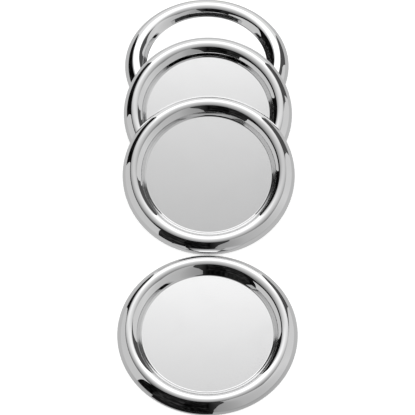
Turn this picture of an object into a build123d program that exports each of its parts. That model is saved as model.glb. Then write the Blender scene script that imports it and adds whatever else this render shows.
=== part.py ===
from build123d import *

import os
from math import atan2, cos, degrees, hypot, radians, sin, sqrt

# A set of four round bottle coasters of polished steel, in millimetres, +Z up, the table at Z = 0.
# Three are fanned along Y: the back one lies flat, the middle one leans on the back one's front rim and
# the top one leans on the middle one's front rim. The front coaster lies flat by itself.
# Each coaster is a pressed dish with a hollow rim. The dish's hem is folded in under a base plate, a core
# disc carries the floor on that plate, and a rubber foot pad fills the hem's opening.

# Dish, as radial widths from the middle outwards
SEAT_DIAMETER = 87.0
INNER_WALL_WIDTH = 8.9
RIM_OUTER_WIDTH = 7.6
HEM_WIDTH = 4.5
SHEET_THICKNESS = 0.6

# Bends of the dish's polished face: foot of the wall, over the crest, down the skirt, round the hem
FLOOR_FILLET = 1.5
CREST_BEND_RADIUS = 6.0
SKIRT_BEND_RADIUS = 12.0
HEM_BEND_RADIUS = 2.35
WALL_SLOPE_ANGLE = 57.0

# Heights, stacked from the table upwards
PAD_PROUD = 0.3
PLATE_THICKNESS = 0.6
CORE_THICKNESS = 1.3
RECESS_DEPTH = 6.0

# Fits inside the dish
PLATE_CLEARANCE = 0.2
PAD_CLEARANCE = 0.3
CORE_INSET = 1.0

# Grip grooves and edge of the foot pad
GROOVE_COUNT = 4
GROOVE_WIDTH = 1.6
GROOVE_DEPTH = 0.5
GROOVE_PITCH = 8.0
GROOVE_MARGIN = 5.0
PAD_CHAMFER = 0.3

# Row of coasters: lean angles in degrees, gaps and sideways places
MIDDLE_LEAN_ANGLE = 10.35
TOP_LEAN_ANGLE = 10.5
LEAN_GAP = 0.2
FRONT_GAP = 1.3
BACK_SIDEWAYS = -0.65
MIDDLE_SIDEWAYS = 0.1
TOP_SIDEWAYS = 0.65
FRONT_SIDEWAYS = -0.2

# Radii and heights that follow
seat_radius = SEAT_DIAMETER / 2
crest_radius = seat_radius + INNER_WALL_WIDTH
outer_radius = crest_radius + RIM_OUTER_WIDTH
hem_turn_radius = outer_radius - HEM_BEND_RADIUS
hem_edge_radius = hem_turn_radius - HEM_WIDTH
plate_bottom = PAD_PROUD + SHEET_THICKNESS
plate_top = plate_bottom + PLATE_THICKNESS
floor_bottom = plate_top + CORE_THICKNESS
floor_top = floor_bottom + SHEET_THICKNESS
crest_height = floor_top + RECESS_DEPTH
crest_bend_height = crest_height - CREST_BEND_RADIUS
hem_bend_height = PAD_PROUD + HEM_BEND_RADIUS


def turned(outline):
    """The solid made by turning a closed outline of (radius, height) lines about the Z axis."""
    return revolve(Plane.XZ * make_face(outline), Axis.Z)


def ring(inner_radius, outer_radius, bottom, top):
    """A flat ring, or a disc if the inner radius is zero."""
    middle = (inner_radius + outer_radius) / 2
    section = Rectangle(outer_radius - inner_radius, top - bottom)
    return revolve(Plane.XZ * Location((middle, (bottom + top) / 2)) * section, Axis.Z)


def inner_wall(depth):
    """The wall's lines from the floor up to the crest: a fillet, a straight slope and a roll.

    The radii of the two bends together follow from the wall's width, height and slope.
    """
    lean_in = sin(radians(WALL_SLOPE_ANGLE))
    lean_up = cos(radians(WALL_SLOPE_ANGLE))
    both_bends = (INNER_WALL_WIDTH * lean_in - RECESS_DEPTH * lean_up) / (1 - lean_up)
    roll_radius = both_bends - FLOOR_FILLET
    fillet = FLOOR_FILLET + depth
    roll = roll_radius - depth
    floor = floor_top - depth
    fillet_middle = (seat_radius, floor + fillet)
    roll_middle = (crest_radius, crest_height - roll_radius)
    wall_foot = (seat_radius + fillet * lean_in, floor + fillet * (1 - lean_up))
    wall_head = (crest_radius - roll * lean_in, roll_middle[1] + roll * lean_up)
    return [
        CenterArc(fillet_middle, fillet, -90, WALL_SLOPE_ANGLE),
        Line(wall_foot, wall_head),
        CenterArc(roll_middle, roll, 90, WALL_SLOPE_ANGLE),
    ]


def outer_wall(depth):
    """The rim's lines from the crest down to the hem: three bends, each running into the next.

    The skirt's bend holds the other two inside it, so its middle is as far from theirs as their radii differ.
    """
    to_crest = SKIRT_BEND_RADIUS - CREST_BEND_RADIUS
    to_hem = SKIRT_BEND_RADIUS - HEM_BEND_RADIUS
    outwards = hem_turn_radius - crest_radius
    upwards = hem_bend_height - crest_bend_height
    apart = hypot(outwards, upwards)
    along = (to_crest**2 - to_hem**2 + apart**2) / (2 * apart)
    aside = sqrt(to_crest**2 - along**2)
    skirt_radius = crest_radius + (along * outwards + aside * upwards) / apart
    skirt_height = crest_bend_height + (along * upwards - aside * outwards) / apart
    skirt_head = degrees(atan2(crest_bend_height - skirt_height, crest_radius - skirt_radius))
    skirt_foot = degrees(atan2(hem_bend_height - skirt_height, hem_turn_radius - skirt_radius))
    crest_middle = (crest_radius, crest_bend_height)
    skirt_middle = (skirt_radius, skirt_height)
    hem_middle = (hem_turn_radius, hem_bend_height)
    return [
        CenterArc(crest_middle, CREST_BEND_RADIUS - depth, skirt_head, 90 - skirt_head),
        CenterArc(skirt_middle, SKIRT_BEND_RADIUS - depth, skirt_foot, skirt_head - skirt_foot),
        CenterArc(hem_middle, HEM_BEND_RADIUS - depth, -90, 90 + skirt_foot),
    ]


def sheet_face(depth):
    """The lines of one face of the dish's sheet, from its middle to the hem's edge.

    depth is 0 for the polished face and the sheet's thickness for the hidden face.
    """
    floor = floor_top - depth
    hem = PAD_PROUD + depth
    floor_line = Line((0, floor), (seat_radius, floor))
    hem_line = Line((hem_turn_radius, hem), (hem_edge_radius, hem))
    return [floor_line, *inner_wall(depth), *outer_wall(depth), hem_line]


def make_dish():
    """The pressed dish: floor, wall, hollow rim and folded hem, in one sheet."""
    middle_edge = Line((0, floor_bottom), (0, floor_top))
    hem_edge = Line((hem_edge_radius, PAD_PROUD), (hem_edge_radius, plate_bottom))
    return turned(sheet_face(0) + sheet_face(SHEET_THICKNESS) + [middle_edge, hem_edge])


def make_core_disc():
    """The board between the dish's floor and the base plate."""
    return ring(0, seat_radius - CORE_INSET, plate_top, floor_bottom)


def make_base_plate():
    """The plate that closes the underside, seated on the hem."""
    return ring(0, hem_turn_radius - PLATE_CLEARANCE, plate_bottom, plate_top)


def make_foot_pad():
    """The rubber pad under the base plate, with grip grooves in its lower face."""
    pad_radius = hem_edge_radius - PAD_CLEARANCE
    pad = ring(0, pad_radius, 0, plate_bottom)
    pad = chamfer(pad.edges().group_by(Axis.Z)[0], PAD_CHAMFER)
    for count in range(GROOVE_COUNT):
        groove_outside = pad_radius - GROOVE_MARGIN - count * GROOVE_PITCH
        pad -= ring(groove_outside - GROOVE_WIDTH, groove_outside, 0, GROOVE_DEPTH)
    return pad


def leaning_place(lean, below):
    """(y, z) of a coaster that leans on the front rim of the one below, with its front hem on the table.

    below is that coaster's (y, z, lean). The pad's plane clears the bend over that coaster's crest.
    """
    below_y, below_z, below_lean = below
    turn = radians(lean)
    below_turn = radians(below_lean)
    z = hem_turn_radius * sin(turn) - hem_bend_height * cos(turn) + HEM_BEND_RADIUS
    bend_y = below_y - crest_radius * cos(below_turn) - crest_bend_height * sin(below_turn)
    bend_z = below_z - crest_radius * sin(below_turn) + crest_bend_height * cos(below_turn)
    y = bend_y + ((z - bend_z) * cos(turn) - CREST_BEND_RADIUS - LEAN_GAP) / sin(turn)
    return y, z


def coaster_places():
    """Each coaster's place, with the row's middle at the origin."""
    back = (0, 0, 0)
    middle = (*leaning_place(MIDDLE_LEAN_ANGLE, back), MIDDLE_LEAN_ANGLE)
    top = (*leaning_place(TOP_LEAN_ANGLE, middle), TOP_LEAN_ANGLE)
    top_turn = radians(TOP_LEAN_ANGLE)
    top_bend = top[0] - hem_turn_radius * cos(top_turn) - hem_bend_height * sin(top_turn)
    top_front = top_bend - HEM_BEND_RADIUS
    front = (top_front - FRONT_GAP - outer_radius, 0, 0)
    sideways = [BACK_SIDEWAYS, MIDDLE_SIDEWAYS, TOP_SIDEWAYS, FRONT_SIDEWAYS]
    row_x = (min(sideways) + max(sideways)) / 2
    row_y = (back[0] + front[0]) / 2
    names = ["back", "middle", "top", "front"]
    places = {}
    for name, x, (y, z, lean) in zip(names, sideways, [back, middle, top, front]):
        places[name] = Location((x - row_x, y - row_y, z), (lean, 0, 0))
    return places


os.makedirs("parts", exist_ok=True)
pieces = {
    "dish": make_dish(),
    "core_disc": make_core_disc(),
    "base_plate": make_base_plate(),
    "foot_pad": make_foot_pad(),
}
for coaster, place in coaster_places().items():
    for piece, solid in pieces.items():
        export_step(place * solid, f"parts/{coaster}_{piece}.step")
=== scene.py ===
"""A set of four polished steel bottle coasters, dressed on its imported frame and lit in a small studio.

Metres, +Z up, the table at Z = 0, the row of coasters along Y and the photograph's camera on the -Y side.
"""

from math import atan2, cos, hypot, pi, radians, sin, sqrt

import bpy
import numpy as np
from bpy.props import FloatProperty, FloatVectorProperty, IntProperty, PointerProperty
from mathutils import Matrix, Vector


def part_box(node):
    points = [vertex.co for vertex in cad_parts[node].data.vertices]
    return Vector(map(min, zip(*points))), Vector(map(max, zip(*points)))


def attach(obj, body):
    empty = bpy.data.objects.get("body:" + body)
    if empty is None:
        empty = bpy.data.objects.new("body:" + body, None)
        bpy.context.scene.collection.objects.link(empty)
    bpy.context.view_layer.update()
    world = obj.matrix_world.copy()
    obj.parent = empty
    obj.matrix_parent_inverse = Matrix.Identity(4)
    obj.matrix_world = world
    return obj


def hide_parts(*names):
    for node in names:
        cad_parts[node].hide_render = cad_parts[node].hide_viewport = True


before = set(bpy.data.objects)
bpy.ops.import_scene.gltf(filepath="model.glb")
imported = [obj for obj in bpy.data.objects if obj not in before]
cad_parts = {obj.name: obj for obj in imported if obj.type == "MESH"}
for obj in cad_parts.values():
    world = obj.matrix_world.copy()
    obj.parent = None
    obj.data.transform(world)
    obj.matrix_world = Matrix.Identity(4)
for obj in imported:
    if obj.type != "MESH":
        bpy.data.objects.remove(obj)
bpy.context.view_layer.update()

bl_info = {
    "name": "Bottle Coaster Set",
    "version": (1, 0, 0),
    "blender": (4, 5, 0),
    "location": "View3D > Sidebar > Coasters",
    "description": "Turned steel coasters with board cores and rubber feet, and the studio around them",
    "category": "Object",
}

COASTERS = ("back", "middle", "top", "front")
MILLIMETRE = 0.001
QUARTER_TURN = pi / 2
WHITE = (1.0, 1.0, 1.0, 1.0)

# Fits inside a coaster that its boxes don't give
CORE_INSET = 1.0 * MILLIMETRE
PLATE_CLEARANCE = 0.2 * MILLIMETRE
PAD_CLEARANCE = 0.3 * MILLIMETRE

# How finely an outline's straights and arcs are divided
FLOOR_STEPS = 6
WALL_STEPS = 5
ARC_STEPS = 28
HIDDEN_ARC_STEPS = 9
EDGE_STEPS = 5
LAND_STEPS = 5

# Decimals of a metre at which two rings of a turned piece count as one
RING_DECIMALS = 8

# Least upward part of the normal of a face that looks up
LOOKS_UP = 0.5


def box_radius(node):
    """Half the width of a CAD node."""
    low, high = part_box(node)
    return (high.x - low.x) / 2


# The front coaster lies flat, so its boxes give the heights and radii that all four share
hem_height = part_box("front_dish")[0].z
crest_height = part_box("front_dish")[1].z
outer_radius = box_radius("front_dish")
plate_low, plate_high = (corner.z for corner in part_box("front_base_plate"))
plate_radius = box_radius("front_base_plate")
core_low, core_high = (corner.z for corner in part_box("front_core_disc"))
core_radius = box_radius("front_core_disc")
pad_radius = box_radius("front_foot_pad")
sheet_thickness = plate_low - hem_height


class CoasterSizes(bpy.types.PropertyGroup):
    """The sizes of one coaster that a user would change."""

    inner_wall_width: FloatProperty(
        name="Inner Wall Width",
        description="From the edge of the flat floor out to the crest of the rim",
        default=8.9 * MILLIMETRE,
        unit="LENGTH",
        precision=5,
    )
    floor_fillet: FloatProperty(
        name="Floor Fillet",
        description="Radius where the floor turns up into the inner wall",
        default=1.5 * MILLIMETRE,
        unit="LENGTH",
        precision=5,
    )
    wall_slope: FloatProperty(
        name="Wall Slope",
        description="Slope of the inner wall between the floor's fillet and the roll over the crest",
        default=radians(57.0),
        subtype="ANGLE",
    )
    crest_bend: FloatProperty(
        name="Crest Bend",
        description="Radius of the rim's bend from its crest outwards",
        default=6.0 * MILLIMETRE,
        unit="LENGTH",
        precision=5,
    )
    skirt_bend: FloatProperty(
        name="Skirt Bend",
        description="Radius of the rim's bend between the crest and the hem",
        default=12.0 * MILLIMETRE,
        unit="LENGTH",
        precision=5,
    )
    edge_radius: FloatProperty(
        name="Edge Radius",
        description="Rounding of the plate's, the board's and the rubber's edges",
        default=0.2 * MILLIMETRE,
        unit="LENGTH",
        precision=5,
    )
    groove_count: IntProperty(
        name="Grip Grooves",
        description="Rings of grip grooves under the foot pad",
        default=4,
    )
    groove_width: FloatProperty(
        name="Groove Width",
        description="Width of one grip groove",
        default=1.6 * MILLIMETRE,
        unit="LENGTH",
        precision=5,
    )
    groove_depth: FloatProperty(
        name="Groove Depth",
        description="Depth of one grip groove",
        default=0.5 * MILLIMETRE,
        unit="LENGTH",
        precision=5,
    )
    groove_pitch: FloatProperty(
        name="Groove Pitch",
        description="From one grip groove to the next",
        default=8.0 * MILLIMETRE,
        unit="LENGTH",
        precision=5,
    )
    groove_margin: FloatProperty(
        name="Groove Margin",
        description="From the foot pad's edge to its outer grip groove",
        default=5.0 * MILLIMETRE,
        unit="LENGTH",
        precision=5,
    )
    segments: IntProperty(
        name="Segments",
        description="Divisions round each turned piece",
        default=320,
    )


class CoasterFinish(bpy.types.PropertyGroup):
    """The colours and polish of the coasters' materials."""

    steel_colour: FloatVectorProperty(
        name="Polished Steel",
        description="Reflection colour of the polished dish",
        subtype="COLOR",
        size=4,
        default=(0.8, 0.8, 0.803, 1.0),
    )
    steel_roughness: FloatProperty(
        name="Polish Roughness",
        description="Roughness of the clean polished steel",
        default=0.012,
    )
    floor_roughness: FloatProperty(
        name="Floor Roughness",
        description="Roughness of the satin floor inside the polished wall",
        default=0.23,
    )
    plate_colour: FloatVectorProperty(
        name="Plate Steel",
        description="Reflection colour of the base plate's mill finish",
        subtype="COLOR",
        size=4,
        default=(0.42, 0.42, 0.43, 1.0),
    )
    board_colour: FloatVectorProperty(
        name="Hardboard",
        description="Colour of the core disc's pressed fibres",
        subtype="COLOR",
        size=4,
        default=(0.16, 0.085, 0.042, 1.0),
    )
    rubber_colour: FloatVectorProperty(
        name="Foot Rubber",
        description="Colour of the moulded foot pad",
        subtype="COLOR",
        size=4,
        default=(0.06, 0.06, 0.061, 1.0),
    )


class StudioSettings(bpy.types.PropertyGroup):
    """The camera and the light of the studio."""

    camera_elevation: FloatProperty(
        name="Camera Elevation",
        description="Height of the camera's line of sight above the table, as an angle",
        default=radians(57.411),
        subtype="ANGLE",
    )
    camera_distance: FloatProperty(
        name="Camera Distance",
        description="From the camera to the point on the table that it looks at",
        default=1.21146,
        unit="LENGTH",
        precision=5,
    )
    camera_aim: FloatVectorProperty(
        name="Camera Aim",
        description="Point on the table in the middle of the picture",
        subtype="XYZ",
        size=3,
        default=(-0.00018, -0.01101, 0.0),
        unit="LENGTH",
        precision=5,
    )
    focal_length: FloatProperty(
        name="Focal Length",
        description="The camera's focal length in millimetres on a 36 mm sensor",
        default=150.77,
    )
    room_light: FloatProperty(
        name="Room Light",
        description="Strength of the even light from all round",
        default=1.0,
    )
    table_glow: FloatProperty(
        name="Table Glow",
        description="Light that the white light table gives by itself",
        default=0.54,
    )


def straight(start, end, steps=1):
    """An outline's straight run as rows of (radius, height, outward and upward parts of the normal).

    The outside of a turned piece is on the left of its outline's direction of travel.
    """
    share = np.linspace(0, 1, steps + 1)[:, None]
    points = np.array(start) * (1 - share) + np.array(end) * share
    along = np.subtract(end, start) / np.hypot(*np.subtract(end, start))
    normals = np.tile((-along[1], along[0]), (steps + 1, 1))
    return np.hstack([points, normals])


def arc(middle, radius, start, turn, steps):
    """An outline's run along a circle, from a start angle and through a turn."""
    angles = start + turn * np.linspace(0, 1, steps + 1)
    outward = np.column_stack([np.cos(angles), np.sin(angles)])
    return np.hstack([np.array(middle) + radius * outward, -np.sign(turn) * outward])


def turned_over(run):
    """A run travelled the other way, with the outside on its other side."""
    return run[::-1] * (1, 1, -1, -1)


def turned_mesh(name, outline, segments):
    """A closed mesh made by turning an outline's runs about the Z axis, with the outline's own normals."""
    spin = 2 * pi / segments * np.arange(segments)
    around = np.column_stack([np.cos(spin), np.sin(spin)]).tolist()
    points = []
    rings = {}

    def ring(radius, height):
        """The vertices of one ring, made once, or the one vertex on the axis."""
        key = (round(radius, RING_DECIMALS), round(height, RING_DECIMALS))
        if key not in rings:
            first = len(points)
            if key[0] == 0:
                points.append((0.0, 0.0, height))
                rings[key] = [first] * segments
            else:
                points.extend((radius * x, radius * y, height) for x, y in around)
                rings[key] = list(range(first, first + segments))
        return rings[key]

    faces = []
    normals = []
    for run in outline:
        rows = run.tolist()
        for near_row, far_row in zip(rows[:-1], rows[1:]):
            near = ring(*near_row[:2])
            far = ring(*far_row[:2])
            for step in range(segments):
                after = (step + 1) % segments
                corners = [
                    (near[step], near_row, step),
                    (far[step], far_row, step),
                    (far[after], far_row, after),
                    (near[after], near_row, after),
                ]
                if near[step] == near[after]:
                    corners.pop(3)
                if far[step] == far[after]:
                    corners.pop(2)
                faces.append([vertex for vertex, _, _ in corners])
                for _, (_, _, outward, upward), turn in corners:
                    x, y = around[turn]
                    normals.append((outward * x, outward * y, upward))
    mesh = bpy.data.meshes.new(name)
    mesh.from_pydata(points, [], faces)
    mesh.shade_smooth()
    mesh.normals_split_custom_set(normals)
    mesh.update()
    return mesh


def inner_wall(sizes, depth, steps):
    """The wall's runs from the floor up to the crest: a fillet, a straight slope and a roll.

    The radii of the two bends together follow from the wall's width, height and slope.
    """
    slope = sizes.wall_slope
    floor = core_high + sheet_thickness
    seat_radius = core_radius + CORE_INSET
    crest_radius = seat_radius + sizes.inner_wall_width
    recess_depth = crest_height - floor
    both_bends = (sizes.inner_wall_width * sin(slope) - recess_depth * cos(slope)) / (1 - cos(slope))
    roll_radius = both_bends - sizes.floor_fillet
    fillet = sizes.floor_fillet + depth
    roll = roll_radius - depth
    fillet_middle = (seat_radius, floor + sizes.floor_fillet)
    roll_middle = (crest_radius, crest_height - roll_radius)
    wall_foot = (fillet_middle[0] + fillet * sin(slope), fillet_middle[1] - fillet * cos(slope))
    wall_head = (roll_middle[0] - roll * sin(slope), roll_middle[1] + roll * cos(slope))
    return [
        arc(fillet_middle, fillet, -QUARTER_TURN, slope, steps),
        straight(wall_foot, wall_head, WALL_STEPS),
        arc(roll_middle, roll, QUARTER_TURN + slope, -slope, steps),
    ]


def outer_wall(sizes, depth, steps):
    """The rim's runs from the crest down to the hem: three bends, each running into the next.

    The skirt's bend holds the other two inside it, so its middle is as far from theirs as the radii differ.
    """
    hem_turn_radius = plate_radius + PLATE_CLEARANCE
    hem_bend = outer_radius - hem_turn_radius
    crest_middle = (core_radius + CORE_INSET + sizes.inner_wall_width, crest_height - sizes.crest_bend)
    hem_middle = (hem_turn_radius, hem_height + hem_bend)
    to_crest = sizes.skirt_bend - sizes.crest_bend
    to_hem = sizes.skirt_bend - hem_bend
    outwards = hem_middle[0] - crest_middle[0]
    upwards = hem_middle[1] - crest_middle[1]
    apart = hypot(outwards, upwards)
    along = (to_crest**2 - to_hem**2 + apart**2) / (2 * apart)
    aside = sqrt(to_crest**2 - along**2)
    skirt_middle = (
        crest_middle[0] + (along * outwards + aside * upwards) / apart,
        crest_middle[1] + (along * upwards - aside * outwards) / apart,
    )
    head = atan2(crest_middle[1] - skirt_middle[1], crest_middle[0] - skirt_middle[0])
    foot = atan2(hem_middle[1] - skirt_middle[1], hem_middle[0] - skirt_middle[0])
    return [
        arc(crest_middle, sizes.crest_bend - depth, QUARTER_TURN, head - QUARTER_TURN, steps),
        arc(skirt_middle, sizes.skirt_bend - depth, head, foot - head, steps),
        arc(hem_middle, hem_bend - depth, foot, -QUARTER_TURN - foot, steps),
    ]


def sheet_face(sizes, depth, steps):
    """The runs of one face of the dish's sheet, from its middle to the hem's edge.

    depth is 0 for the polished face and the sheet's thickness for the hidden one.
    """
    floor = core_high + sheet_thickness - depth
    hem = hem_height + depth
    floor_run = straight((0, floor), (core_radius + CORE_INSET, floor), FLOOR_STEPS)
    hem_run = straight((plate_radius + PLATE_CLEARANCE, hem), (pad_radius + PAD_CLEARANCE, hem))
    return [floor_run, *inner_wall(sizes, depth, steps), *outer_wall(sizes, depth, steps), hem_run]


def dish_outline(sizes):
    """The pressed dish: the polished face, the hem's cut edge and the hidden face back to the middle."""
    polished = sheet_face(sizes, 0, ARC_STEPS)
    hidden = sheet_face(sizes, sheet_thickness, HIDDEN_ARC_STEPS)
    hem_edge = straight(polished[-1][-1][:2], hidden[-1][-1][:2])
    return polished + [hem_edge] + [turned_over(run) for run in reversed(hidden)]


def disc_outline(radius, low, high, edge):
    """A flat disc with rounded edges, from the middle of its top to the middle of its underside."""
    return [
        straight((0, high), (radius - edge, high), FLOOR_STEPS),
        arc((radius - edge, high - edge), edge, QUARTER_TURN, -QUARTER_TURN, EDGE_STEPS),
        straight((radius, high - edge), (radius, low + edge)),
        arc((radius - edge, low + edge), edge, 0, -QUARTER_TURN, EDGE_STEPS),
        straight((radius - edge, low), (0, low), FLOOR_STEPS),
    ]


def groove_outline(outside, inside, low, depth, edge):
    """A grip groove in an underside, from its outer lip to its inner lip."""
    top = low + depth
    return [
        arc((outside + edge, low + edge), edge, -QUARTER_TURN, -QUARTER_TURN, EDGE_STEPS),
        straight((outside, low + edge), (outside, top - edge)),
        arc((outside - edge, top - edge), edge, 0, QUARTER_TURN, EDGE_STEPS),
        straight((outside - edge, top), (inside + edge, top)),
        arc((inside + edge, top - edge), edge, QUARTER_TURN, QUARTER_TURN, EDGE_STEPS),
        straight((inside, top - edge), (inside, low + edge)),
        arc((inside - edge, low + edge), edge, 0, -QUARTER_TURN, EDGE_STEPS),
    ]


def pad_outline(sizes):
    """The foot pad: a rounded disc whose underside has rings of grip grooves."""
    edge = sizes.edge_radius
    runs = disc_outline(pad_radius, 0, plate_low, edge)[:-1]
    reached = pad_radius - edge
    for count in range(sizes.groove_count):
        outside = pad_radius - sizes.groove_margin - count * sizes.groove_pitch
        inside = outside - sizes.groove_width
        runs.append(straight((reached, 0), (outside + edge, 0), LAND_STEPS))
        runs.extend(groove_outline(outside, inside, 0, sizes.groove_depth, edge))
        reached = inside - edge
    runs.append(straight((reached, 0), (0, 0), FLOOR_STEPS))
    return runs


def coaster_place(coaster):
    """The matrix from a coaster's own frame, whose origin is the middle of its underside, to the row."""
    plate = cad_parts[f"{coaster}_base_plate"].data
    up = Vector()
    for face in plate.polygons:
        if face.normal.z > LOOKS_UP:
            up += face.normal * face.area
    up.normalize()
    across = Vector((1, 0, 0))
    along = up.cross(across).normalized()
    middle = Vector()
    for axis in (across, along):
        reach = [vertex.co.dot(axis) for vertex in plate.vertices]
        middle += axis * (min(reach) + max(reach)) / 2
    middle += up * (min(vertex.co.dot(up) for vertex in plate.vertices) - plate_low)
    turn = Matrix((across, along, up)).transposed().to_4x4()
    return Matrix.Translation(middle) @ turn


def dress_coasters(node, making, outline, material):
    """One turned piece in each coaster, riding with the coaster and standing for its CAD node.

    making says how the piece is made, and ends its name.
    """
    segments = bpy.context.scene.coaster_sizes.segments
    pattern = turned_mesh(f"{node}_{making}", outline, segments)
    pattern.materials.append(material)
    for coaster in COASTERS:
        piece = bpy.data.objects.new(f"{coaster}_{node}_{making}", pattern.copy())
        bpy.context.scene.collection.objects.link(piece)
        piece.matrix_world = coaster_place(coaster)
        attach(piece, f"{coaster}_coaster")
        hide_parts(f"{coaster}_{node}")
    bpy.data.meshes.remove(pattern)


# Half the width of the change from the satin floor to the polished wall
FINISH_BLEND = 0.4 * MILLIMETRE

# Noise between which a cloudy patch fades in, before its cover is taken off
PATCH_EDGES = (0.85, 1.15)

# How the finishes vary: shares of a colour or a roughness, and roughness between two values
HAZE_TONE = 0.985
HAZE_ROUGHENING = 2.2
SPECK_ROUGHENING = 0.006
SATIN_ROUGHENING = 1.04
STAIN_TONE = 0.8
PLATE_ROUGHNESS = (0.28, 0.46)
BLOTCH_TONE = 0.7
FIBRE_TONE = 1.6
BOARD_ROUGHNESS = (0.7, 0.95)
BLOOM_TONE = 2.2
RUBBER_ROUGHNESS = (0.5, 0.75)
GRAIN_SHARE = 0.6

# Depths of the finishes' relief
POLISH_RELIEF = 0.00004 * MILLIMETRE
MILL_RELIEF = 0.004 * MILLIMETRE
FIBRE_RELIEF = 0.15 * MILLIMETRE
MOULD_RELIEF = 0.04 * MILLIMETRE


def new_node(tree, kind, settings=None, **inputs):
    """A node with its settings and input values, where a value may be another node's socket.

    An input is given by its name, with _ for a space, or by its number after _.
    """
    node = tree.nodes.new(kind)
    for name, value in (settings or {}).items():
        setattr(node, name, value)
    for name, value in inputs.items():
        key = int(name[1:]) if name[1:].isdigit() else name.replace("_", " ")
        socket = node.inputs[key]
        if isinstance(value, bpy.types.NodeSocket):
            tree.links.new(value, socket)
        else:
            socket.default_value = value
    return node


def calculated(tree, operation, *values):
    """A math node's result."""
    inputs = {f"_{count}": value for count, value in enumerate(values)}
    return new_node(tree, "ShaderNodeMath", {"operation": operation}, **inputs).outputs[0]


def eased(tree, value, start, end, low=0.0, high=1.0):
    """A value that eases from low to high where another goes from start to end."""
    return new_node(
        tree,
        "ShaderNodeMapRange",
        {"interpolation_type": "SMOOTHSTEP"},
        Value=value,
        From_Min=start,
        From_Max=end,
        To_Min=low,
        To_Max=high,
    ).outputs[0]


def new_group(name, inputs, outputs):
    """A shader node group with named float and vector sockets, and its input and output nodes."""
    tree = bpy.data.node_groups.new(name, "ShaderNodeTree")
    for label, kind, value in inputs:
        socket = tree.interface.new_socket(label, in_out="INPUT", socket_type=kind)
        if value is not None:
            socket.default_value = value
    for label in outputs:
        tree.interface.new_socket(label, in_out="OUTPUT", socket_type="NodeSocketFloat")
    return tree, tree.nodes.new("NodeGroupInput"), tree.nodes.new("NodeGroupOutput")


def turning_radius(tree, parts):
    """The distance from a turned piece's own axis, from the separate parts of a place on it."""
    flat = new_node(tree, "ShaderNodeCombineXYZ", X=parts["X"], Y=parts["Y"]).outputs[0]
    return new_node(tree, "ShaderNodeVectorMath", {"operation": "LENGTH"}, _0=flat).outputs["Value"]


def turning_marks_group():
    """Fine rings about a turned piece's own axis, uneven from ring to ring and broken along each one."""
    tree, given, result = new_group(
        "turning_marks",
        [
            ("Place", "NodeSocketVector", None),
            ("Rings per Metre", "NodeSocketFloat", 3000.0),
            ("Breaks per Metre", "NodeSocketFloat", 60.0),
        ],
        ["Height"],
    )
    parts = new_node(tree, "ShaderNodeSeparateXYZ", Vector=given.outputs["Place"]).outputs
    rings = new_node(
        tree,
        "ShaderNodeTexNoise",
        {"noise_dimensions": "1D"},
        W=calculated(tree, "ADD", turning_radius(tree, parts), parts["Z"]),
        Scale=given.outputs["Rings per Metre"],
        Detail=4.0,
    )
    breaks = new_node(
        tree,
        "ShaderNodeTexNoise",
        Vector=given.outputs["Place"],
        Scale=given.outputs["Breaks per Metre"],
        Detail=2.0,
    )
    height = calculated(tree, "MULTIPLY", rings.outputs[0], breaks.outputs[0])
    tree.links.new(height, result.inputs["Height"])
    return tree


def cloudy_group():
    """Soft uneven patches with a fine speckle in them, such as handling haze, dust or bloom."""
    tree, given, result = new_group(
        "cloudy_patches",
        [
            ("Place", "NodeSocketVector", None),
            ("Patches per Metre", "NodeSocketFloat", 40.0),
            ("Specks per Metre", "NodeSocketFloat", 1500.0),
            ("Cover", "NodeSocketFloat", 0.5),
        ],
        ["Mask", "Specks"],
    )
    patches = new_node(
        tree,
        "ShaderNodeTexNoise",
        Vector=given.outputs["Place"],
        Scale=given.outputs["Patches per Metre"],
        Detail=3.0,
        Distortion=0.6,
    )
    specks = new_node(
        tree,
        "ShaderNodeTexNoise",
        Vector=given.outputs["Place"],
        Scale=given.outputs["Specks per Metre"],
        Detail=2.0,
    )
    start, end = (calculated(tree, "SUBTRACT", edge, given.outputs["Cover"]) for edge in PATCH_EDGES)
    mask = eased(tree, patches.outputs[0], start, end)
    tree.links.new(mask, result.inputs["Mask"])
    tree.links.new(specks.outputs[0], result.inputs["Specks"])
    return tree


def shared_group(name, maker):
    """A node group that more than one material uses, built the first time it is asked for."""
    return bpy.data.node_groups.get(name) or maker()


def new_material(name, metallic):
    """A material with its node tree, Principled shader and the piece's own coordinates."""
    material = bpy.data.materials.new(name)
    material.use_nodes = True
    tree = material.node_tree
    shader = tree.nodes["Principled BSDF"]
    shader.inputs["Metallic"].default_value = metallic
    place = tree.nodes.new("ShaderNodeTexCoord").outputs["Object"]
    return material, tree, shader, place


def place_turning_marks(tree, place, rings, breaks):
    """The shared turning marks in a material, as a height."""
    group = shared_group("turning_marks", turning_marks_group)
    marks = new_node(
        tree,
        "ShaderNodeGroup",
        {"node_tree": group},
        Place=place,
        Rings_per_Metre=rings,
        Breaks_per_Metre=breaks,
    )
    return marks.outputs["Height"]


def place_clouds(tree, place, patches, specks, cover):
    """The shared cloudy patches in a material, as a mask and its specks."""
    group = shared_group("cloudy_patches", cloudy_group)
    clouds = new_node(
        tree,
        "ShaderNodeGroup",
        {"node_tree": group},
        Place=place,
        Patches_per_Metre=patches,
        Specks_per_Metre=specks,
        Cover=cover,
    )
    return clouds.outputs["Mask"], clouds.outputs["Specks"]


def mix_colours(tree, share, first, second):
    """A colour between two, by a mask.

    Inputs 6 and 7 and output 2 are the mix node's colours.
    """
    mix = new_node(tree, "ShaderNodeMix", {"data_type": "RGBA"}, _0=share, _6=first, _7=second)
    return mix.outputs[2]


def between(tree, share, low, high):
    """A value between two, by a mask from 0 to 1."""
    return new_node(tree, "ShaderNodeMapRange", Value=share, To_Min=low, To_Max=high).outputs[0]


def toned(colour, share):
    """The colour times a share, with its alpha kept."""
    return (*(part * share for part in colour[:3]), colour[3])


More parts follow.
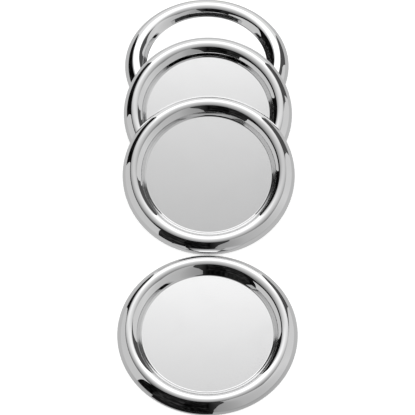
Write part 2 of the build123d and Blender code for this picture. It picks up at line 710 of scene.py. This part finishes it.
def relief(tree, shader, height, depth):
    """Bump of a real depth in metres on the shader's normal."""
    bump = new_node(tree, "ShaderNodeBump", Height=height, Distance=depth, Strength=1.0)
    tree.links.new(bump.outputs["Normal"], shader.inputs["Normal"])


def beyond_radius(tree, place, radius):
    """A mask that is 0 near a turned piece's axis and 1 from a radius outwards."""
    parts = new_node(tree, "ShaderNodeSeparateXYZ", Vector=place).outputs
    return eased(tree, turning_radius(tree, parts), radius - FINISH_BLEND, radius + FINISH_BLEND)


def polished_steel(finish):
    """Stainless steel with a satin floor inside a mirror-polished rim, and a trace of handling haze."""
    material, tree, shader, place = new_material("polished_steel", metallic=1.0)
    haze, specks = place_clouds(tree, place, patches=45, specks=2500, cover=0.42)
    marks = place_turning_marks(tree, place, rings=4000, breaks=90)
    colour = mix_colours(tree, haze, finish.steel_colour, toned(finish.steel_colour, HAZE_TONE))
    tree.links.new(colour, shader.inputs["Base Color"])
    hazy = between(tree, haze, finish.steel_roughness, finish.steel_roughness * HAZE_ROUGHENING)
    mirror = calculated(tree, "MULTIPLY_ADD", specks, SPECK_ROUGHENING, hazy)
    satin = between(tree, haze, finish.floor_roughness, finish.floor_roughness * SATIN_ROUGHENING)
    rim = beyond_radius(tree, place, core_radius + CORE_INSET)
    tree.links.new(between(tree, rim, satin, mirror), shader.inputs["Roughness"])
    relief(tree, shader, marks, POLISH_RELIEF)
    return material


def plate_steel(finish):
    """Mill-finished steel sheet with turning rings and dull patches."""
    material, tree, shader, place = new_material("plate_steel", metallic=1.0)
    stains, specks = place_clouds(tree, place, patches=60, specks=900, cover=0.5)
    marks = place_turning_marks(tree, place, rings=2500, breaks=120)
    colour = mix_colours(tree, stains, finish.plate_colour, toned(finish.plate_colour, STAIN_TONE))
    tree.links.new(colour, shader.inputs["Base Color"])
    tree.links.new(between(tree, specks, *PLATE_ROUGHNESS), shader.inputs["Roughness"])
    relief(tree, shader, marks, MILL_RELIEF)
    return material


def hardboard(finish):
    """Pressed brown fibre board."""
    material, tree, shader, place = new_material("hardboard", metallic=0.0)
    blotches, fibres = place_clouds(tree, place, patches=150, specks=1800, cover=0.5)
    base = mix_colours(tree, blotches, finish.board_colour, toned(finish.board_colour, BLOTCH_TONE))
    colour = mix_colours(tree, fibres, toned(finish.board_colour, FIBRE_TONE), base)
    tree.links.new(colour, shader.inputs["Base Color"])
    tree.links.new(between(tree, fibres, *BOARD_ROUGHNESS), shader.inputs["Roughness"])
    relief(tree, shader, fibres, FIBRE_RELIEF)
    return material


def foot_rubber(finish):
    """Moulded black rubber with the mould's turning rings, a fine grain and a pale bloom."""
    material, tree, shader, place = new_material("foot_rubber", metallic=0.0)
    bloom, grain = place_clouds(tree, place, patches=70, specks=3500, cover=0.4)
    marks = place_turning_marks(tree, place, rings=1200, breaks=40)
    colour = mix_colours(tree, bloom, finish.rubber_colour, toned(finish.rubber_colour, BLOOM_TONE))
    tree.links.new(colour, shader.inputs["Base Color"])
    tree.links.new(between(tree, grain, *RUBBER_ROUGHNESS), shader.inputs["Roughness"])
    relief(tree, shader, calculated(tree, "MULTIPLY_ADD", grain, GRAIN_SHARE, marks), MOULD_RELIEF)
    return material


# Studio cards, as plan lines of (x, y) on the table, and the heights of their tops. The back panel,
# the left reflector and the low wall are bright. The right shade, the side opening and the shaded corner
# are dark and tall.
BACK_PANEL = ((-0.276, 0.5), (0.283, 0.5))
BACK_TOP = 2.5
LEFT_REFLECTOR = ((-0.225, -0.202), (-0.298, 0.141))
LEFT_TOP = 0.272
LOW_WALL = ((2.49, 0.25), (2.35, 0.85), (2.05, 1.43))
LOW_WALL_TOP = 1.0
RIGHT_SHADE = ((0.05, -2.6), (0.5, -2.55), (1.3, -2.26), (1.8, -1.88))
SIDE_OPENING = ((2.5, 0.02), (2.5, 2.5), (0.3, 2.5))
SHADED_CORNER = ((-1.0, -2.3), (-2.0, -1.5))
TALL_TOP = 14.0

# Right wall: round the row by turns in degrees from straight in front of it, then straight in to a back
# edge (x, y). Its top falls towards the front, in stops of (turn, height).
RIGHT_WALL_RADIUS = 2.5
RIGHT_WALL_TURNS = (5.6, 90.0)
RIGHT_WALL_STEPS = 32
RIGHT_WALL_END = (0.435, 0.277)
RIGHT_WALL_FALL = (
    (5.6, 0.6),
    (8.2, 1.2),
    (10.9, 1.95),
    (16.1, 2.9),
    (21.4, 4.2),
    (26.7, 7.5),
    (32.0, TALL_TOP),
)

# Overhead panel: its height, its left edge at the front and the back, its right edge,
# and the share of its light left one metre from the middle
OVERHEAD_HEIGHT = 0.74
OVERHEAD_LEFT = (-0.48, -0.75)
OVERHEAD_RIGHT = 0.429
OVERHEAD_SIDE_SHARE = 0.045

# Round table, a little below the coasters' feet, the corners (x, y) of the shade in front of the row,
# and the room round them all
TABLE_RADIUS = 6.0
TABLE_SIDES = 64
TABLE_DROP = 0.1 * MILLIMETRE
TABLE_COLOURS = ((0.8, 0.8, 0.8, 1.0), (0.79, 0.79, 0.79, 1.0))
TABLE_ROUGHNESS = 0.9
FRONT_SHADE = ((0.004, -0.181), (0.22, -2.4), (-2.0, -1.6), (-0.05, -0.168))
ROOM_RADIUS = 16.0
ROOM_SIDES = 48
ROOM_ROWS = 12

# Brightness of the cards as mirrors see them: even, or in stops of (place along an axis, brightness)
BACK_LIGHT = ((0.28, 0.88), (0.34, 1.38), (0.6, 1.65))
OVERHEAD_LIGHT = (
    (-0.207, 0.275),
    (0.0, 0.53),
    (0.15, 0.705),
    (0.28, 0.94),
    (0.34, 1.22),
    (0.45, 1.36),
    (0.7, 1.55),
    (1.05, 1.7),
)
RIGHT_LIGHT = (
    (-2.488, 0.29),
    (-2.462, 0.35),
    (-2.05, 0.53),
    (-1.25, 0.605),
    (0.0, 0.777),
    (0.25, 0.736),
)
# Painted shade: the table that mirrors see is dimmer than the white table, and darker towards the front
MIRRORED_TABLE_SHADE = ((-0.3, 0.35), (-0.17, 0.47), (-0.12, 0.584))
RIGHT_SHADE_LIGHT = ((0.05, 0.008), (0.5, 0.045), (1.3, 0.06))
LEFT_LIGHT = 0.677
LOW_WALL_LIGHT = 0.72
OPENING_LIGHT = 0.09
FRONT_SHADE_LIGHT = 0.01

# Cluttered dark: its lowest and highest brightness, its patches per metre,
# and the noise between which a patch turns from one to the other
CORNER_LIGHT = (0.01, 0.045)
CORNER_PATCHES = 2.5
CLUTTER_LIGHT = (0.002, 0.03)
CLUTTER_PATCHES = 0.6
CLUTTER_EDGES = (0.45, 0.75)

# Nearest distance that the camera sees
CLIP_START = 0.01


def glow_material(name):
    """A material that only gives light, its node tree and its emission shader."""
    material = bpy.data.materials.new(name)
    material.use_nodes = True
    tree = material.node_tree
    tree.nodes.remove(tree.nodes["Principled BSDF"])
    glow = tree.nodes.new("ShaderNodeEmission")
    tree.links.new(glow.outputs[0], tree.nodes["Material Output"].inputs["Surface"])
    material.cycles.emission_sampling = "NONE"
    return material, tree, glow


def even_glow(name, strength):
    """Light of one brightness all over."""
    material, _, glow = glow_material(name)
    glow.inputs["Strength"].default_value = strength
    return material


def ramp_glow(name, axis, stops, side_share=1.0):
    """Light whose brightness changes along an axis, by stops of (place, brightness).

    side_share is the share of the light that is left one metre to either side.
    """
    material, tree, glow = glow_material(name)
    place = tree.nodes.new("ShaderNodeTexCoord").outputs["Object"]
    parts = new_node(tree, "ShaderNodeSeparateXYZ", Vector=place).outputs
    kept = calculated(tree, "POWER", side_share, calculated(tree, "MULTIPLY", parts["X"], parts["X"]))
    strength = None
    for (start, light), (end, next_light) in zip(stops[:-1], stops[1:]):
        step = new_node(
            tree,
            "ShaderNodeMapRange",
            Value=parts[axis],
            From_Min=start,
            From_Max=end,
            To_Min=0.0 if strength else light,
            To_Max=next_light - light if strength else next_light,
        ).outputs[0]
        if strength:
            step = calculated(tree, "ADD", strength, step)
        strength = step
    tree.links.new(calculated(tree, "MULTIPLY", strength, kept), glow.inputs["Strength"])
    return material


def cluttered_glow(name, lights, patches):
    """Faint light in uneven patches, between two values, as from an unlit room full of things."""
    material, tree, glow = glow_material(name)
    place = tree.nodes.new("ShaderNodeTexCoord").outputs["Object"]
    noise = new_node(tree, "ShaderNodeTexNoise", Vector=place, Scale=patches, Detail=3.0).outputs[0]
    light = eased(tree, noise, *CLUTTER_EDGES, *lights)
    tree.links.new(light, glow.inputs["Strength"])
    return material


def stage_object(name, points, faces, material):
    """A mesh that belongs to the studio and not to the coasters."""
    mesh = bpy.data.meshes.new(name)
    mesh.from_pydata(points, [], faces)
    mesh.materials.append(material)
    thing = bpy.data.objects.new(name, mesh)
    bpy.context.scene.collection.objects.link(thing)
    return thing


def level_card(name, corners, height, material):
    """A flat card with corners (x, y), at one height."""
    points = [(x, y, height) for x, y in corners]
    return stage_object(name, points, [tuple(range(len(points)))], material)


def mirrors_only(thing):
    """Polished surfaces see this studio card. The camera, the table and shadows don't."""
    thing.visible_camera = False
    thing.visible_diffuse = False
    thing.visible_transmission = False
    thing.visible_shadow = False


def standing_card(name, plan, tops, material):
    """A card that stands on a plan line, up to one height or to a height at each point of the line."""
    heights = np.broadcast_to(tops, len(plan))
    points = [(x, y, z) for (x, y), top in zip(plan, heights) for z in (0.0, top)]
    faces = [(foot, foot + 2, foot + 3, foot + 1) for foot in range(0, len(points) - 2, 2)]
    mirrors_only(stage_object(name, points, faces, material))


def right_wall():
    """The pale wall, round from in front of the row to its right and in to its back edge.

    Its top falls towards its front edge.
    """
    turns = np.linspace(*RIGHT_WALL_TURNS, RIGHT_WALL_STEPS + 1)
    plan = RIGHT_WALL_RADIUS * np.column_stack([np.sin(np.radians(turns)), -np.cos(np.radians(turns))])
    fall_turns, fall_tops = zip(*RIGHT_WALL_FALL)
    tops = np.interp(turns, fall_turns, fall_tops)
    light = ramp_glow("right_light", "Y", RIGHT_LIGHT)
    standing_card("right_wall", (*plan, RIGHT_WALL_END), (*tops, TALL_TOP), light)


def overhead_panel():
    """The lit panel above the row, brightest at its back and dimmer to its sides."""
    near = OVERHEAD_LIGHT[0][0]
    far = OVERHEAD_LIGHT[-1][0]
    near_left, far_left = OVERHEAD_LEFT
    corners = ((near_left, near), (OVERHEAD_RIGHT, near), (OVERHEAD_RIGHT, far), (far_left, far))
    light = ramp_glow("overhead_light", "Y", OVERHEAD_LIGHT, OVERHEAD_SIDE_SHARE)
    mirrors_only(level_card("overhead_panel", corners, OVERHEAD_HEIGHT, light))


def dark_room():
    """The unlit room beyond the cards."""
    points = []
    for row in range(ROOM_ROWS + 1):
        rise = pi * row / ROOM_ROWS - QUARTER_TURN
        for side in range(ROOM_SIDES):
            spin = 2 * pi * side / ROOM_SIDES
            outward = Vector((cos(rise) * cos(spin), cos(rise) * sin(spin), sin(rise)))
            points.append(ROOM_RADIUS * outward)
    faces = []
    for low in range(0, ROOM_ROWS * ROOM_SIDES, ROOM_SIDES):
        high = low + ROOM_SIDES
        for side in range(ROOM_SIDES):
            after = (side + 1) % ROOM_SIDES
            faces.append((low + side, low + after, high + after, high + side))
    clutter = cluttered_glow("room_clutter", CLUTTER_LIGHT, CLUTTER_PATCHES)
    mirrors_only(stage_object("dark_room", points, faces, clutter))


def front_shade():
    """Painted shade on the white table in front of the row, to the left of the camera: a dark card that
    only mirrors see.
    """
    shade = even_glow("front_shade_light", FRONT_SHADE_LIGHT)
    mirrors_only(level_card("front_shade", FRONT_SHADE, 0.0, shade))


def light_table(studio):
    """The plain white table, and a dimmer copy in its place that only mirrors see, painted with shade that
    darkens it towards the front.

    It gives some light by itself, so that shadows stay faint.
    """
    spins = [2 * pi * side / TABLE_SIDES for side in range(TABLE_SIDES)]
    corners = [(TABLE_RADIUS * cos(spin), TABLE_RADIUS * sin(spin)) for spin in spins]
    material, tree, shader, place = new_material("light_table", metallic=0.0)
    tone, _ = place_clouds(tree, place, patches=3, specks=400, cover=0.5)
    tree.links.new(mix_colours(tree, tone, *TABLE_COLOURS), shader.inputs["Base Color"])
    shader.inputs["Roughness"].default_value = TABLE_ROUGHNESS
    shader.inputs["Specular IOR Level"].default_value = 0.0
    shader.inputs["Emission Color"].default_value = WHITE
    shader.inputs["Emission Strength"].default_value = studio.table_glow
    material.cycles.emission_sampling = "NONE"
    level_card("light_table", corners, -TABLE_DROP, material).visible_glossy = False
    # Painted shade: a dim copy of the table for mirrors, darker towards the front
    dim = ramp_glow("mirrored_table_shade_light", "Y", MIRRORED_TABLE_SHADE)
    mirrors_only(level_card("shaded_table_in_mirrors", corners, -TABLE_DROP, dim))


def even_room_light(studio):
    """Even pale light from all round."""
    world = bpy.data.worlds.new("room_light")
    world.use_nodes = True
    background = world.node_tree.nodes["Background"]
    background.inputs["Color"].default_value = WHITE
    background.inputs["Strength"].default_value = studio.room_light
    bpy.context.scene.world = world


def photograph_camera(studio):
    """The camera, in the plane through the row and above its front."""
    lens = bpy.data.cameras.new("photograph_camera")
    lens.lens = studio.focal_length
    lens.clip_start = CLIP_START
    camera = bpy.data.objects.new("photograph_camera", lens)
    bpy.context.scene.collection.objects.link(camera)
    rise = studio.camera_elevation
    back = Vector((0, -cos(rise), sin(rise)))
    camera.location = Vector(studio.camera_aim) + back * studio.camera_distance
    camera.rotation_euler = (QUARTER_TURN - rise, 0, 0)
    bpy.context.scene.camera = camera


class COASTER_OT_dishes(bpy.types.Operator):
    """Make the four polished dishes."""

    bl_idname = "coaster.dishes"
    bl_label = "Polished Dishes"

    def execute(self, context):
        outline = dish_outline(context.scene.coaster_sizes)
        steel = polished_steel(context.scene.coaster_finish)
        dress_coasters("dish", "pressing", outline, steel)
        return {"FINISHED"}


class COASTER_OT_core_discs(bpy.types.Operator):
    """Make the four hardboard discs under the floors."""

    bl_idname = "coaster.core_discs"
    bl_label = "Core Discs"

    def execute(self, context):
        edge = context.scene.coaster_sizes.edge_radius
        outline = disc_outline(core_radius, core_low, core_high, edge)
        board = hardboard(context.scene.coaster_finish)
        dress_coasters("core_disc", "board", outline, board)
        return {"FINISHED"}


class COASTER_OT_base_plates(bpy.types.Operator):
    """Make the four plates that the hems hold."""

    bl_idname = "coaster.base_plates"
    bl_label = "Base Plates"

    def execute(self, context):
        edge = context.scene.coaster_sizes.edge_radius
        outline = disc_outline(plate_radius, plate_low, plate_high, edge)
        steel = plate_steel(context.scene.coaster_finish)
        dress_coasters("base_plate", "blank", outline, steel)
        return {"FINISHED"}


class COASTER_OT_foot_pads(bpy.types.Operator):
    """Make the four grooved rubber feet."""

    bl_idname = "coaster.foot_pads"
    bl_label = "Foot Pads"

    def execute(self, context):
        outline = pad_outline(context.scene.coaster_sizes)
        rubber = foot_rubber(context.scene.coaster_finish)
        dress_coasters("foot_pad", "moulding", outline, rubber)
        return {"FINISHED"}


class COASTER_OT_studio(bpy.types.Operator):
    """Make the table, the studio's cards and light, and the camera."""

    bl_idname = "coaster.studio"
    bl_label = "Studio"

    def execute(self, context):
        studio = context.scene.coaster_studio
        light_table(studio)
        even_room_light(studio)
        dark_room()
        front_shade()
        overhead_panel()
        standing_card("back_panel", BACK_PANEL, BACK_TOP, ramp_glow("back_light", "Z", BACK_LIGHT))
        standing_card("left_reflector", LEFT_REFLECTOR, LEFT_TOP, even_glow("left_light", LEFT_LIGHT))
        right_wall()
        right_dark = ramp_glow("right_shade_light", "X", RIGHT_SHADE_LIGHT)
        standing_card("right_shade", RIGHT_SHADE, TALL_TOP, right_dark)
        standing_card("low_wall", LOW_WALL, LOW_WALL_TOP, even_glow("low_wall_light", LOW_WALL_LIGHT))
        standing_card("side_opening", SIDE_OPENING, TALL_TOP, even_glow("opening_light", OPENING_LIGHT))
        corner_dark = cluttered_glow("corner_clutter", CORNER_LIGHT, CORNER_PATCHES)
        standing_card("shaded_corner", SHADED_CORNER, TALL_TOP, corner_dark)
        photograph_camera(studio)
        context.scene.view_settings.view_transform = "Standard"
        return {"FINISHED"}


class COASTER_PT_sidebar(bpy.types.Panel):
    """The coasters' sizes, finishes and operators."""

    bl_idname = "COASTER_PT_sidebar"
    bl_label = "Bottle Coasters"
    bl_space_type = "VIEW_3D"
    bl_region_type = "UI"
    bl_category = "Coasters"

    def draw(self, context):
        for group in SETTINGS:
            settings = getattr(context.scene, group)
            column = self.layout.column()
            for name in settings.__annotations__:
                column.prop(settings, name)
        for operator in OPERATORS:
            self.layout.operator(operator.bl_idname)


SETTINGS = {
    "coaster_sizes": CoasterSizes,
    "coaster_finish": CoasterFinish,
    "coaster_studio": StudioSettings,
}
OPERATORS = (
    COASTER_OT_dishes,
    COASTER_OT_core_discs,
    COASTER_OT_base_plates,
    COASTER_OT_foot_pads,
    COASTER_OT_studio,
)
CLASSES = (*SETTINGS.values(), *OPERATORS, COASTER_PT_sidebar)


def register():
    """Make the classes known to Blender, and keep the settings with the scene."""
    for kind in CLASSES:
        bpy.utils.register_class(kind)
    for name, kind in SETTINGS.items():
        setattr(bpy.types.Scene, name, PointerProperty(type=kind))


def unregister():
    """Undo register."""
    for name in SETTINGS:
        delattr(bpy.types.Scene, name)
    for kind in reversed(CLASSES):
        bpy.utils.unregister_class(kind)


def main():
    register()
    bpy.ops.coaster.dishes()
    bpy.ops.coaster.core_discs()
    bpy.ops.coaster.base_plates()
    bpy.ops.coaster.foot_pads()
    bpy.ops.coaster.studio()


if __name__ == "__main__":
    main()
